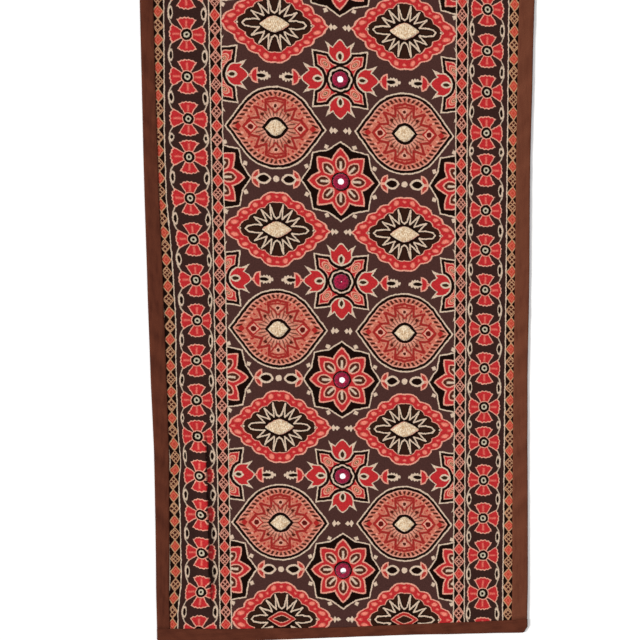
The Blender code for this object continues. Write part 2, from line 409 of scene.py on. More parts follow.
def draw_lobed_eye(cloth, p):
    """Rim with its dots, dark middle, petals and pod, almond under the stitches."""
    half_width, half_height, squareness, lobe_angle = 47.9, 35.4, 1.25, math.pi / 16
    spread = power(p.x / half_width, squareness) + power(p.y / half_height, squareness)
    spread = power(spread, 1 / squareness)
    turn = angle_of(p.y / half_height, p.x / half_width)
    lobes = larger(size(sine(turn * 8.0)), 1.0 - turn * 5.0)
    rim = (spread * (1.045 - lobes * 0.075) - 1.0) * 38.0
    cloth.lay_rings(rim, (PINK_CREAM, -0.35), (RED, 1.15))
    cusp = fold(turn, lobe_angle) * 33.0
    lobe = (lobe_angle * 33.0 - cusp) * (p.y * 0.008 + 1.0)
    dot = reach(lobe, rim + 5.1)
    cloth.lay(DOT_SHADE, dot - 3.3, 1.4, share=0.7)
    cloth.lay(SALMON, dot - 2.4, 1.6)
    cloth.lay(SALMON, reach(cusp, rim + 4.6) - 1.2, 1.2, share=0.85)
    cloth.lay_rings(rim, (PINK_CREAM, 9.9), (DARK, 10.8))
    petals = smaller(stroke(p, PETALS), stroke(p, POD))
    cloth.lay(BLACK, petals - 1.6, 0.8)
    cloth.lay(BLACK, reach(p.x * 0.72, p.y) - 10.0, 2.0)
    cloth.lay(CREAM, petals - 0.66)
    cloth.lay(CREAM, p.away(33.6, 0.0) - 0.9)
    almond = p.y + power(p.x / 13.6, 1.5) * 7.4 - 7.4
    cloth.lay_rings(almond, (PINK_CREAM, 0.0), (DEEP_RED, 0.8), (PINK_CREAM, 3.4), (DARK, 4.1))


print("petals:", len(PETALS), "points for a quarter of the eye")

# %% [markdown]
# ## The round eye
#
# The second eye is a circle that runs out into two straight-sided points: a distance from the middle is
# kept where the point lies above a slanted line, and below it a slanted ruler takes over, so both meet
# without a kink. Inside lie a wreath of short dashes, a star outline, and small diamonds and dots.

# %% Round eye
STAR = [(0.0, 27.2), (9.0, 24.8), (8.4, 15.2), (18.5, 18.2), (14.9, 8.7), (23.3, 7.5), (29.3, 0.0)]
ARCH = [(0.0, 24.0), (8.6, 22.6), (0.0, 13.3)]
STAR_RED = tone(156, 42, 38)
ECHO_RED = tone(172, 64, 54)
GEM_DARK = tone(92, 20, 16)


def draw_round_eye(cloth, p):
    """Outline, wreaths of dashes, star with its echo and comb, dots and diamonds, almond."""
    far = p.away()
    slanted = p.x * 0.8 + p.y * 0.6
    flank = inside(p.x * 0.75 - p.y, 0.01)
    oval = slanted + flank * (far - slanted)
    hull = oval - 36.7
    cloth.lay_rings(hull, (CREAM, -0.6), (BLACK, 0.7), (PINK_CREAM, 3.2))
    cloth.lay(WARM_RED, hull + 5.0, 3.0)
    turn = angle_of(p.y, p.x)
    dashes = larger(size(hull + 6.2) - 1.9, fold(turn + hull * 0.012, math.pi / 46) * 30.0 - 1.1)
    cloth.lay(RUST, dashes, 0.7)
    dashes = larger(size(hull + 9.0) - 0.9, fold(turn, math.pi / 34) * 28.0 - 0.9)
    cloth.lay(PINK_CREAM, dashes, 0.7)
    dashes = larger(size(far - 26.0) - 1.4, fold(turn, math.pi / 34) * 26.5 - 0.8)
    cloth.lay(DEEP_RED, dashes, 0.7)
    cloth.lay(SOFT_RED, far - 22.5, 2.0)
    cloth.lay(PINK_CREAM, far - 12.4, 3.0, share=0.8)
    comb = larger(size(far - 14.6) - 4.0, fold(turn, math.pi / 26) * 14.0 - 0.6)
    cloth.lay(RUST, comb, 0.7, share=0.85)
    star_line = stroke(p, STAR)
    echo = larger(size(star_line - 2.9) - 0.4, far - 23.5)
    cloth.lay(ECHO_RED, echo, 0.7, share=0.8)
    lines = smaller(star_line - 1.2, stroke(p, ARCH) - 0.8)
    cloth.lay(STAR_RED, lines, 0.7)
    cloth.lay(PINK_CREAM, p.away(0.0, 19.6) - 2.6)
    dots = smaller(p.away(0.0, 19.7) - 1.6, p.away(11.7, 11.9) - 1.5)
    cloth.lay(RUST, dots)
    diamond = size(p.x - 22.7) + p.y - 5.6
    cloth.lay(DEEP_RED, smaller(diamond - 1.1, size(p.x - 34.0) + p.y - 3.2))
    cloth.lay(PINK_CREAM, diamond + 0.7)
    cloth.lay(GEM_DARK, p.away(22.7, 0.0) - 2.5)
    cloth.lay_rings(oval, (BLACK, -9.9), (CREAM, -7.0))


print("star:", len(STAR), "points for a quarter of the eye")

# %% [markdown]
# ## The two rosettes
#
# Between two rows of eyes stands a petalled rosette, and between the next two a tulip rosette. The first
# has eight equal petals, so its angle is folded into one eighth of a turn before anything is drawn. The
# second has four arms, so the longer and the shorter of x and y do the same job. A petal's side is part of
# a circle whose middle lies below the petal's line, because two such arcs meet in a point.

# %% Petalled rosette
LEAF_BROWN = tone(78, 34, 22)


def draw_petalled_rosette(cloth, p):
    """Star-shaped ground, petals with a leaf in each, notches between them, dark middle."""
    middle = p.away()
    swing = fold(angle_of(p.y, p.x), math.pi / 8)
    along = middle * cosine(swing)
    across = middle * sine(swing)
    petal = Place(along, across)
    star = along * 0.8318 + across * 0.5549 - 30.11
    cloth.lay_rings(star, (CREAM, -0.6), (BLACK, 0.6))
    edge = petal.away(10.23, -16.05) - 26.3
    cloth.lay_rings(edge, (PINK_CREAM, 0.0), (RED, 1.3))
    leaf = petal.away(16.4, -2.684) - 7.684
    cloth.lay_rings(leaf, (PINK_CREAM, 0.0), (LEAF_BROWN, 1.2))
    cloth.lay(CREAM, larger(size(along - 14.8) - 4.0, across - 1.0), 0.8)
    notch = size(along * 0.924 + across * 0.383 - 33.9) + size(along * 0.383 - across * 0.924)
    cloth.lay(CREAM, notch - 2.5, 0.8)
    cloth.lay(BLACK, middle - 8.6)


print("one petal is drawn, and eight show")

# %% [markdown]
# ## The tulip rosette
#
# Four tulips stand round a wavy ring, with a petal in each corner between them. The corner petal's outer
# edges lean inwards a little, and the round cups of the tulips are cut out of its sides. A tulip's cup is
# part of a circle, and its crown has a middle tip and two slanting side tips.

# %% Tulip rosette
PETAL_PINK = tone(200, 84, 66)
DROP_TAN = tone(120, 84, 50)
SEED_BROWN = tone(52, 34, 20)


def draw_tulip_rosette(cloth, p):
    """Corner petals with a drop in each, tulips with a seed, wavy ring."""
    long = larger(p.x, p.y)
    short = smaller(p.x, p.y)
    tulip = Place(long, short)
    cup = tulip.away(25.8, 0.0)
    ground = larger(long - short * 0.13 - 22.0, 10.5 - cup)
    cloth.lay_rings(ground, (CREAM, -0.6), (BLACK, 0.6), (PINK_CREAM, 3.2), (RED, 4.1))
    drop = reach((long + short) * 0.416 - 11.2, (long - short) * 0.7071)
    cloth.lay_rings(drop, (PINK_CREAM, -3.4), (PETAL_PINK, -2.7), (PINK_CREAM, -1.8))
    cloth.lay(DROP_TAN, size(drop - 0.9) - 0.35)
    petal_top = 35.8 - power(short / 6.6, 1.6) * 6.8
    crown = long - larger(petal_top, short * 0.7 + 24.4)
    bell = smaller(larger(short - (long - 25.8) * 0.42 - 10.2, 25.8 - long), cup - 10.3)
    cloth.lay(CREAM, larger(bell, crown))
    cloth.lay(RED, larger(larger(bell + 0.4, crown + 1.3), short - 9.4))
    seed = tulip.away(20.5, -2.138) - 5.438
    cloth.lay_rings(seed, (CREAM, 0.0), (SEED_BROWN, 1.6))
    middle = p.away()
    cloth.lay(BLACK, middle - 12.8)
    wavy = middle - 9.5 - size(cosine(angle_of(p.y, p.x) * 4.0)) * 0.8
    cloth.lay(CREAM, size(wavy) - 0.75)


print("one corner and one tulip are drawn, and four of each show")

# %% [markdown]
# ## Buds and fleurs
#
# Small motifs fill the ground between the large ones. A bud is a cream seed with a black middle in a red
# calyx. In one row the seeds have a toothed edge, made by adding a folded ruler to their outline, and in the
# other they are smooth and face a dot. A fleur is a diamond and a bar that touch.

# %% Buds and fleurs between the large motifs
CALYX_RED = tone(176, 56, 50)


def draw_spiky_buds(cloth, p):
    """A calyx with its side leaves, and a seed with a toothed edge."""
    lobe = larger(reach(p.x - 15.2, p.y) - 7.3, 15.4 - p.x)
    calyx = smaller(lobe, size(p.x - 22.0) * 0.8 + p.y - 2.0)
    cloth.lay_rings(calyx, (PINK_CREAM, 0.0), (RED, 1.3))
    seed = larger(p.away(11.0, -5.0) - 8.1 - fold(p.x, 1.4) * 0.95, p.x - 16.2)
    cloth.lay(CREAM, seed)
    cloth.lay(BLACK, reach(p.x * 0.44 - 5.5, p.y) - 1.8)


def draw_smooth_buds(cloth, p):
    """A calyx, a smooth seed and the dot that it faces."""
    calyx = larger(reach(p.x - 14.0, p.y) - 8.6, 15.4 - p.x)
    cloth.lay(PINK_CREAM, calyx)
    cloth.lay(CALYX_RED, larger(calyx + 1.3, 1.2 - p.y))
    seed = p.away(11.8, -2.6) - 7.6
    cloth.lay_rings(seed, (CREAM, 0.0), (BLACK, 1.8))
    cloth.lay(CREAM, p.away() - 2.8)


def draw_fleurs(cloth, p):
    """A diamond and a bar that touch."""
    diamond = size(p.x - 4.8) + p.y * 1.1 - 2.6
    bar = size(p.x - 8.2) * 1.6 + p.y - 3.4
    cloth.lay(CREAM, smaller(diamond, bar))


print("three small motifs fill the ground")

# %% [markdown]
# ## The field
#
# The printer puts the same block down again and again, so the pattern repeats. Folding does the same for
# a formula: folded back and forth, the whole field becomes one quarter of one motif, and each motif is
# drawn only once.

# %% The field of eyes and rosettes
EYE_OFFSET = 59.3
ROW_PITCH = 92.15
FIRST_ROSETTE = 69.2
FIELD_HALF_WIDTH = 107.2
LINE_HALF_WIDTH = 0.45


def draw_field(u, v):
    """Every motif of the field, each at its own folded place, and the field's edge lines."""
    from_rosette = fold(u, EYE_OFFSET)
    from_eye = EYE_OFFSET - from_rosette
    from_petals = fold(v - FIRST_ROSETTE, ROW_PITCH)
    from_tulips = ROW_PITCH - from_petals
    from_round = fold(v - FIRST_ROSETTE - ROW_PITCH / 2, ROW_PITCH)
    from_lobed = ROW_PITCH - from_round
    from_any_eye = fold(v - FIRST_ROSETTE - ROW_PITCH / 2, ROW_PITCH / 2)
    cloth = Cloth(PLUM)
    draw_fleurs(cloth, Place(from_rosette, from_any_eye))
    draw_lobed_eye(cloth, Place(from_eye, from_lobed))
    draw_round_eye(cloth, Place(from_eye, from_round))
    draw_petalled_rosette(cloth, Place(from_rosette, from_petals))
    draw_tulip_rosette(cloth, Place(from_rosette, from_tulips))
    draw_spiky_buds(cloth, Place(from_eye, from_tulips))
    draw_smooth_buds(cloth, Place(from_eye, from_petals))
    cloth.lay(CREAM, FIELD_HALF_WIDTH - LINE_HALF_WIDTH - size(u))
    return cloth.color


print("the field repeats every", 2 * EYE_OFFSET, "by", 2 * ROW_PITCH, "mm")

# %% [markdown]
# ## The border
#
# Down each side run a narrow band of diamonds, a column of four-petalled flowers between two vines, and a
# second band of diamonds, parted by cream lines. A border block holds seven flowers, and the printer laps
# each block a little over the one before, so the pitch jumps by 3 mm at each join.

# %% The border's flowers, vines and diamonds
BLOCK_LENGTH = 257.3
BLOCK_START = 213.0
BLOCK_MARGIN = 17.9
FLOWER_PITCH = 37.2
FLOWER_COLUMN = 136.0
DIAMOND_START = 213.5
DIAMOND_PITCH = 12.25
INNER_BAND = 112.5
OUTER_BAND = 161.2
BAND_HALF_WIDTH = 4.8
BORDER_LINES = (FIELD_HALF_WIDTH, 117.9, 156.0, 166.6)
BORDER_PLUM = tone(54, 33, 29)
EYELET_GREY = tone(196, 184, 160)
LATTICE_DARK = tone(64, 20, 16)
INNER_RED = tone(190, 50, 44)
OUTER_RED = tone(182, 68, 48)
OUTER_CREAM = tone(204, 156, 118)


def draw_flower_column(cloth, p):
    """Vines with their loops, then the flower's four fans and its eyelet."""
    side = size(p.x)
    from_loop = FLOWER_PITCH / 2 - p.y
    stem = size(side - 16.1 + power(from_loop / 8.8, 2.0) * 2.2) * 0.8 - 0.36
    cloth.lay(CREAM, larger(stem, from_loop - 11.5), 0.6)
    loop = reach(side * 0.5 - 6.95, from_loop * 0.18) - 1.0
    cloth.lay(CREAM, loop, 0.25)
    cloth.lay(BLACK, loop + 0.34, 0.2)
    long = larger(side, p.y)
    short = smaller(side, p.y)
    middle = p.away()
    scallop = fold(angle_of(short, long), math.pi / 26) * 6.0
    fan = larger(short - long * 0.62 - 0.7, middle - 15.0 - scallop)
    cloth.lay(PINK_CREAM, fan)
    red_fan = inside(fan + 1.0)
    cloth.stain(RED, red_fan)
    cloth.stain(DEEP_RED, inside(middle - 8.6, 5.0) * red_fan * 0.6)
    streak = larger(size(middle - 9.4) - 2.6, short - 0.6)
    cloth.lay(SALMON, streak, 1.6, share=0.8)
    cloth.lay_rings(middle, (PINK_CREAM, -5.8), (BLACK, -5.0), (EYELET_GREY, -2.7), (BLACK, -1.3))


def draw_diamond_band(cloth, from_middle, row, bright, pale):
    """A row of diamonds: lattice ones and red ones take turns."""
    half = DIAMOND_PITCH / 2
    cell = size(from_middle) * (3.4 / BAND_HALF_WIDTH) + fold(row, half) * (3.4 / half) - 3.4
    band = size(from_middle) - BAND_HALF_WIDTH - 0.3
    cloth.lay(BLACK, band, 0.5)
    cloth.lay(pale, larger(cell - 0.3, band), 0.5, share=0.9)
    cloth.lay(bright, larger(cell + 0.5, band), 0.5)
    cloth.lay(SALMON, larger(size(cell + 1.9) - 0.25, band), 0.5, share=0.5)
    dark = larger(larger(cell + 0.5, band), half - fold(row, half * 2))
    cloth.lay(LATTICE_DARK, dark, 0.5)
    one_way = fold((from_middle + row) * 0.7, 1.5)
    other_way = fold((from_middle - row) * 0.7, 1.5)
    cloth.lay(pale, larger(dark, smaller(one_way, other_way) - 0.34), 0.5, share=0.9)


def draw_border(u, v):
    """Both borders at once: the flowers, the two bands of diamonds and the cream lines."""
    across = size(u)
    along = wrap(v - BLOCK_START, BLOCK_LENGTH) - BLOCK_MARGIN
    flowers = Place(across - FLOWER_COLUMN, fold(along, FLOWER_PITCH / 2))
    cloth = Cloth(BORDER_PLUM)
    draw_flower_column(cloth, flowers)
    row = v - DIAMOND_START
    draw_diamond_band(cloth, across - INNER_BAND, row, INNER_RED, PINK_CREAM)
    draw_diamond_band(cloth, across - OUTER_BAND, row, OUTER_RED, OUTER_CREAM)
    inner = smaller(size(across - BORDER_LINES[0]), size(across - BORDER_LINES[1]))
    outer = smaller(size(across - BORDER_LINES[2]), size(across - BORDER_LINES[3]))
    cloth.lay(CREAM, smaller(inner, outer) - LINE_HALF_WIDTH)
    return cloth.color


print("flowers every", FLOWER_PITCH, "mm, diamonds every", DIAMOND_PITCH, "mm")

# %% [markdown]
# ## Cotton
#
# Two things make a drawing into printed cotton. The hand-cut block never prints a true line, so the place
# where each point looks up its colour is nudged by noise: a slow drift and a fine tremble. And the cloth
# has a weave, two sets of threads that cross, which lift the surface a few hundredths of a millimetre.

# %% Cloth finishes
WEAVE_PITCH = 0.62
PRINTED_THREAD_DEPTH = 0.00010
PLAIN_THREAD_DEPTH = 0.00009
CLOTH_SHINE = 0.04
DRIFT = 1.3
TREMBLE = 0.9
MOTTLE = 0.8
SPECKLE = 0.7
DYE_FLOOR = 0.26
STREAK_SCALE = (0.30, 0.05, 1.0)
CREASE_SLANT = 0.8
UV_NAME = "flat_cloth"


def start_material(name, roughness):
    """A new material whose tree is being drawn from now on."""
    made = bpy.data.materials.new(name)
    made.use_nodes = True
    drawing["tree"] = made.node_tree
    shader = made.node_tree.nodes["Principled BSDF"]
    shader.inputs["Roughness"].default_value = roughness
    shader.inputs["Specular IOR Level"].default_value = CLOTH_SHINE
    return made, shader


def cloth_places():
    """U across and V along the flat cloth, in millimetres."""
    uv = add_node("ShaderNodeUVMap", uv_map=UV_NAME)
    split = add_node("ShaderNodeSeparateXYZ")
    feed(split.inputs[0], uv.outputs[0])
    return uv.outputs[0], Ink(split.outputs[0]), Ink(split.outputs[1])


def noise_at(vector, scale, detail=2.0, roughness=0.5):
    """Flat noise on the cloth, as its strength and its three colour parts."""
    node = add_node("ShaderNodeTexNoise", noise_dimensions="2D")
    feed(node.inputs["Vector"], vector)
    node.inputs["Scale"].default_value = scale
    node.inputs["Detail"].default_value = detail
    node.inputs["Roughness"].default_value = roughness
    split = add_node("ShaderNodeSeparateColor")
    feed(split.inputs[0], node.outputs["Color"])
    return [Ink(node.outputs[0])] + [Ink(socket) for socket in split.outputs]


def add_weave(shader, u, v, uneven, depth):
    """Raise the threads of a plain weave."""
    warp = cosine(u * (math.tau / WEAVE_PITCH))
    weft = cosine(v * (math.tau / WEAVE_PITCH))
    height = warp * weft * 0.5 + uneven * 1.2
    bump = add_node("ShaderNodeBump")
    bump.inputs["Strength"].default_value = 1.0
    bump.inputs["Distance"].default_value = depth
    feed(bump.inputs["Height"], height)
    feed(shader.inputs["Normal"], bump.outputs[0])


def fade_dye(cloth, mottle, speckle):
    """Make a dyed colour a little uneven, as hand-dyed cotton is."""
    node = add_node("ShaderNodeHueSaturation")
    feed(node.inputs["Value"], mottle * MOTTLE + speckle * SPECKLE + DYE_FLOOR)
    feed(node.inputs["Color"], cloth)
    return node.outputs[0]


def printed_cotton(name, draw):
    """Printed cotton, with a drawing of the field or the border."""
    made, shader = start_material(name, 0.9)
    uv, u, v = cloth_places()
    drift = noise_at(uv, 0.16)
    tremble = noise_at(uv, 0.75)
    middle = (DRIFT + TREMBLE) / 2
    u_printed = u + drift[1] * DRIFT + tremble[1] * TREMBLE - middle
    v_printed = v + drift[2] * DRIFT + tremble[2] * TREMBLE - middle
    cloth = draw(u_printed, v_printed)
    speckle = noise_at(uv, 1.9, 1.0)
    cloth = fade_dye(cloth, tremble[3], speckle[1])
    feed(shader.inputs["Base Color"], cloth)
    add_weave(shader, u, v, speckle[2], PRINTED_THREAD_DEPTH)
    print(name, "has", len(made.node_tree.nodes), "nodes")
    return made


def plain_cotton(name, color, shade):
    """Plain dyed cotton with long soft streaks of uneven dye, and painted shade along slanting creases."""
    made, shader = start_material(name, 0.88)
    uv, u, v = cloth_places()
    streaks = add_node("ShaderNodeMapping")
    streaks.inputs["Scale"].default_value = STREAK_SCALE
    feed(streaks.inputs["Vector"], uv)
    streak = noise_at(streaks.outputs[0], 1.0, 3.0, 0.6)
    crease = noise_at(Place((v - u * CREASE_SLANT) * 0.055, u * 0.01).socket, 1.0, 1.0)
    fine = noise_at(uv, 1.7, 1.0)
    # The streak noise is uneven dye. The crease noise darkens the colour along slanting lines: this is
    # painted shade, as if shade fell in the creases.
    cloth = paint(color, shade, streak[0] * 2.0 + crease[0] * 0.9 - 1.0)
    cloth = fade_dye(cloth, streak[1], fine[1])
    feed(shader.inputs["Base Color"], cloth)
    add_weave(shader, u, v, fine[2], PLAIN_THREAD_DEPTH)
    return made


field_cotton = printed_cotton("printed_field", draw_field)
border_cotton = printed_cotton("printed_border", draw_border)
reverse_cotton = plain_cotton("print_reverse", tone(92, 58, 54), tone(72, 44, 42))
brown_cotton = plain_cotton("brown_strip_cotton", tone(104, 55, 39), tone(70, 34, 24))
russet_cotton = plain_cotton("russet_strip_cotton", tone(120, 69, 50), tone(90, 48, 34))

# %% [markdown]
# ## Where the seams lie
#
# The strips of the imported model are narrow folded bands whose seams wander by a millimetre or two. The
# cloth made here has to meet them, so their lines are read from the model: the top points of a strip lie
# on its seam and at the start of its fold, and a straight walk from point to point gives any place between.

# %% Seam and edge lines
STRIP_FOLD = 0.0012
RIGHT_STRIP_EXTRA = 0.0018
STRIP_THICKNESS = 0.0006
PANEL_THICKNESS = 0.0012
TOP_TOLERANCE = 0.00005
strip_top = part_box("side_strip_left")[1].z


def read_strip(name, across_axis):
    """Sorted (place along, seam, outer edge) lists of a strip, from the top points of its model."""
    along_axis = 1 - across_axis
    points = [v.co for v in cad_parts[name].data.vertices if v.co.z > strip_top - TOP_TOLERANCE]
    spread = [abs(co[across_axis]) for co in points]
    middle = (min(spread) + max(spread)) / 2
    inner = [co for co in points if abs(co[across_axis]) < middle]
    outer = [co for co in points if abs(co[across_axis]) > middle]
    seam = sorted({(round(co[along_axis], 5), co[across_axis]) for co in inner})
    fold_line = sorted({(round(co[along_axis], 5), co[across_axis]) for co in outer})
    return seam, fold_line


def walk(line, place):
    """Height of a line of points over a place, level beyond its ends."""
    if place <= line[0][0]:
        return line[0][1]
    for (low, start), (high, stop) in zip(line, line[1:]):
        if place <= high:
            return start + (stop - start) * (place - low) / max(high - low, 1e-9)
    return line[-1][1]


side_lines = {-1: read_strip("side_strip_left", 0), 1: read_strip("side_strip_right", 0)}
end_lines = {-1: read_strip("end_strip_near", 1), 1: read_strip("end_strip_far", 1)}


def side_seam(side, y):
    """Where a side strip's seam lies: side is -1 on the left and 1 on the right."""
    return walk(side_lines[side][0], y)


def side_edge(side, y):
    """Where a side strip's outer edge lies."""
    extra = RIGHT_STRIP_EXTRA if side > 0 else 0.0
    return walk(side_lines[side][1], y) + side * STRIP_FOLD + extra


def end_seam(end, x):
    """Where an end strip's seam lies: end is -1 at the near hem and 1 at the far one."""
    return walk(end_lines[end][0], x)


def end_edge(end, x):
    """Where an end strip's outer edge lies."""
    return walk(end_lines[end][1], x) + end * STRIP_FOLD


print("left seam at the near hem", round(side_seam(-1, cad_low.y), 4), "m")

# %% [markdown]
# ## The printed panel
#
# Thin cloth that lies flat could be one plane, but then it would have no edge and no life. This sheet
# starts as a fine grid from one bmesh operator. Each point then moves to its place: the rows and columns
# follow the seams, the cloth rises onto the strips at its rim, a soft pleat runs up the left border, and
# slow waves keep it from being ruler flat. A Solidify modifier gives it the thickness of lined cotton.
#
# The UV map holds the flat cloth in millimetres. Left of the pleat the print is shifted, because the
# pleat swallows 4 mm of it, and the left border sways by a few millimetres, as hand printing does.

# %% Shape of the lying cloth
HALF_LENGTH = (cad_high.y - cad_low.y) / 2
FIELD_EDGE = FIELD_HALF_WIDTH / 1000
PANEL_TUCK = 0.0026
PANEL_LIFT = 0.0009
PANEL_RISE = 0.011
SEAM_MARGIN = 0.0015
WAVE_HEIGHT = 0.00055

PLEAT_HEIGHT = 0.0044
PLEAT_X = -0.1266
PLEAT_LEAN = -0.012
PLEAT_START = 0.028
PLEAT_END = 0.215
PLEAT_LEFT_REACH = 0.013
PLEAT_RIGHT_REACH = 0.0014
PLEAT_TUCK = 0.0036
PLEAT_WANDER = 0.0018
PLEAT_FADE = 2.2
PLEAT_HIDES = 0.004
PRINT_SKEW = 0.046
SWAY_START = -0.119
SWAY_FADE = 0.014
BAND_SWAY_START = -0.144
BAND_SWAY_FADE = 0.012
ROW_DRIFT = [(0, 2.6), (24, 2.4), (69, -0.6), (115, 0.0)]
BORDER_SWAY = [(0, 1.9), (121, 1.5), (160, 2.4), (197, 0.3), (266, -0.8), (305, -2.4), (342, -1.9),
               (379, -0.4), (415, 2.0)]
BAND_SWAY = [(0, 0.0), (150, 0.0), (170, -3.0), (200, -2.5), (250, -1.5), (337, 0.6), (467, 1.9),
             (590, -0.3)]


def ease(t):
    """From 0 to 1 with a soft start and a soft end."""
    t = min(1.0, max(0.0, t))
    return t * t * (3 - 2 * t)


def pleat_fade(from_hem):
    """1 in the middle of the pleat's length and 0 at its two ends."""
    middle = (PLEAT_START + PLEAT_END) / 2
    half = (PLEAT_END - PLEAT_START) / 2
    return ease(PLEAT_FADE * (1 - abs(from_hem - middle) / half))


def pleat_line(from_hem):
    """Where the crest of the pleat lies, at a distance from the near hem."""
    wander = PLEAT_WANDER * noise.noise(Vector((from_hem * 42, 2.0, 6.0)))
    return PLEAT_X + PLEAT_LEAN * (min(from_hem, PLEAT_END) - PLEAT_START) + wander


def pleat_rise(x, from_hem):
    """How far up the pleat a point lies: 0 on the flat cloth and 1 on the crest."""
    past = x - pleat_line(from_hem)
    reach_here = PLEAT_RIGHT_REACH if past > 0 else PLEAT_LEFT_REACH
    return pleat_fade(from_hem) * ease(1 - abs(past) / reach_here)


def pleat_tuck(x, from_hem):
    """How far the cloth turns back under the crest before it comes out on the right."""
    share = (x - pleat_line(from_hem)) / PLEAT_RIGHT_REACH
    if share < 0 or share > 1:
        return 0.0
    return PLEAT_TUCK * pleat_fade(from_hem) * math.sin(math.pi * share)


def panel_underside(x, y):
    """Height of the cloth's underside over the table."""
    from_hem = y + HALF_LENGTH
    to_side = min(x - side_seam(-1, y), side_seam(1, y) - x)
    to_end = min(y - end_seam(-1, x), end_seam(1, x) - y)
    from_strip = min(to_side, to_end) - SEAM_MARGIN
    rim = 1 - ease(from_strip / PANEL_RISE)
    slow = noise.noise(Vector((x * 16, y * 11, 3.0))) + 0.4 * noise.noise(Vector((x * 45, y * 30, 8.0)))
    waves = WAVE_HEIGHT * max(0.0, 0.35 + slow) * ease(from_strip / 0.02)
    return PANEL_LIFT * rim + waves + PLEAT_HEIGHT * pleat_rise(x, from_hem)


def flat_place(x, y):
    """Where a point lies on the flat cloth before it was sewn, in millimetres."""
    from_hem = y + HALF_LENGTH
    hidden = PLEAT_HIDES * pleat_fade(from_hem)
    swallowed = min(1.0, max(0.0, 1.0 - (x - pleat_line(from_hem)) / PLEAT_RIGHT_REACH))
    u = (x - hidden * swallowed) * 1000
    v = (from_hem + PRINT_SKEW * x) * 1000
    v += walk(ROW_DRIFT, v)
    if x < -FIELD_EDGE:
        u += walk(BORDER_SWAY, v) * ease((SWAY_START - x) / SWAY_FADE)
        u += walk(BAND_SWAY, v) * ease((BAND_SWAY_START - x) / BAND_SWAY_FADE)
    return u, v


print("the pleat hides", 1000 * PLEAT_HIDES, "mm of the print")

# %% [markdown]
# ## Where the grid is fine
#
# An even grid as fine as the pleat needs would have millions of points. So the columns stand close together
# only at the pleat, and a few millimetres apart elsewhere. A column lies on each line where the field meets
# a border, because the two are different materials. A zone is its start and its spacing.

# %% Rows and columns of the sheet
SEAM_NOMINAL = 0.165
EDGE_NOMINAL = 0.176
END_SEAM_NOMINAL = 0.748
END_EDGE_NOMINAL = 0.759
COLUMN_ZONES = [(-EDGE_NOMINAL, 0.003), (-SEAM_NOMINAL, 0.0021), (-0.1435, 0.0010), (-0.1325, 0.00030),
                (-0.1245, 0.0028), (-FIELD_EDGE, 0.0028), (FIELD_EDGE, 0.0026), (SEAM_NOMINAL, 0.003)]
ROW_ZONES = [(-END_EDGE_NOMINAL, 0.003), (-END_SEAM_NOMINAL, 0.0052), (END_SEAM_NOMINAL, 0.003)]


def spaced(zones, end):
    """Places along a line, evenly spaced in each zone."""
    places = []
    stops = [start for start, spacing in zones[1:]] + [end]
    for (low, spacing), high in zip(zones, stops):
        steps = max(1, round((high - low) / spacing))
        places += [low + (high - low) * k / steps for k in range(steps)]
    return places + [end]


columns = spaced(COLUMN_ZONES, EDGE_NOMINAL)
rows = spaced(ROW_ZONES, END_EDGE_NOMINAL)
print("the sheet has", len(columns), "columns and", len(rows), "rows")


def fitted(nominal, seam_nominal, edge_nominal, seam_low, seam_high, edge_low, edge_high):
    """Move a nominal place so that the seams and rims of the grid meet the real ones."""
    seam, edge = (seam_high, edge_high) if nominal > 0 else (seam_low, edge_low)
    side = 1 if nominal > 0 else -1
    share = ease((abs(nominal) - seam_nominal + 0.02) / 0.02)
    past = (abs(nominal) - seam_nominal) / (edge_nominal - seam_nominal)
    if past > 0:
        return seam + (edge - side * PANEL_TUCK - seam) * past
    return nominal + (seam - side * seam_nominal) * share


# %% Build the panel
def link_object(name, bm, materials):
    """Turn a bmesh into a named object with its materials."""
    mesh = bpy.data.meshes.new(name)
    bm.to_mesh(mesh)
    bm.free()
    mesh.shade_smooth()
    for item in materials:
        mesh.materials.append(item)
    made = bpy.data.objects.new(name, mesh)
    bpy.context.scene.collection.objects.link(made)
    return made


def build_panel():
    """The printed sheet: its grid moved into place, its flat cloth as UV map, its thickness."""
    bm = bmesh.new()
    uv_layer = bm.loops.layers.uv.new(UV_NAME)
    bmesh.ops.create_grid(bm, x_segments=len(columns) - 1, y_segments=len(rows) - 1, size=1.0)
    flat = {}
    for vert in bm.verts:
        column = columns[round((vert.co.x + 1) / 2 * (len(columns) - 1))]
        row = rows[round((vert.co.y + 1) / 2 * (len(rows) - 1))]
        x = fitted(column, SEAM_NOMINAL, EDGE_NOMINAL, side_seam(-1, row), side_seam(1, row),
                   side_edge(-1, row), side_edge(1, row))
        y = fitted(row, END_SEAM_NOMINAL, END_EDGE_NOMINAL, end_seam(-1, x), end_seam(1, x),
                   end_edge(-1, x), end_edge(1, x))
        flat[vert] = flat_place(x, y)
        vert.co = (x - pleat_tuck(x, y + HALF_LENGTH), y, panel_underside(x, y))
    for face in bm.faces:
        face.material_index = 0 if abs(face.calc_center_median().x) < FIELD_EDGE else 1
        for loop in face.loops:
            loop[uv_layer].uv = flat[loop.vert]
    bmesh.ops.recalc_face_normals(bm, faces=bm.faces)
    if sum(face.normal.z for face in bm.faces) < 0:
        bmesh.ops.reverse_faces(bm, faces=bm.faces)
    panel = link_object("printed_cloth", bm, [field_cotton, border_cotton, reverse_cotton, reverse_cotton])
    shell = panel.modifiers.new("thickness", "SOLIDIFY")
    shell.thickness = PANEL_THICKNESS
    shell.offset = 1.0
    shell.material_offset = 2
    shell.material_offset_rim = 2
    return panel


panel = build_panel()
print("panel faces before thickness:", len(panel.data.polygons))

# %% [markdown]
# ## The brown strips
#
# Each edge is bound with a strip of plain cotton folded in half over the edge and sewn down, so its section
# is a flat hairpin. A hairpin can be lofted from many rings, but a grid bent round it keeps the UV map of
# the flat strip for free: one way of the grid runs round the section, the other along the edge. Small
# puckers where the thread pulls make the seam look sewn, and low slanting creases keep the strip from
# looking cast.

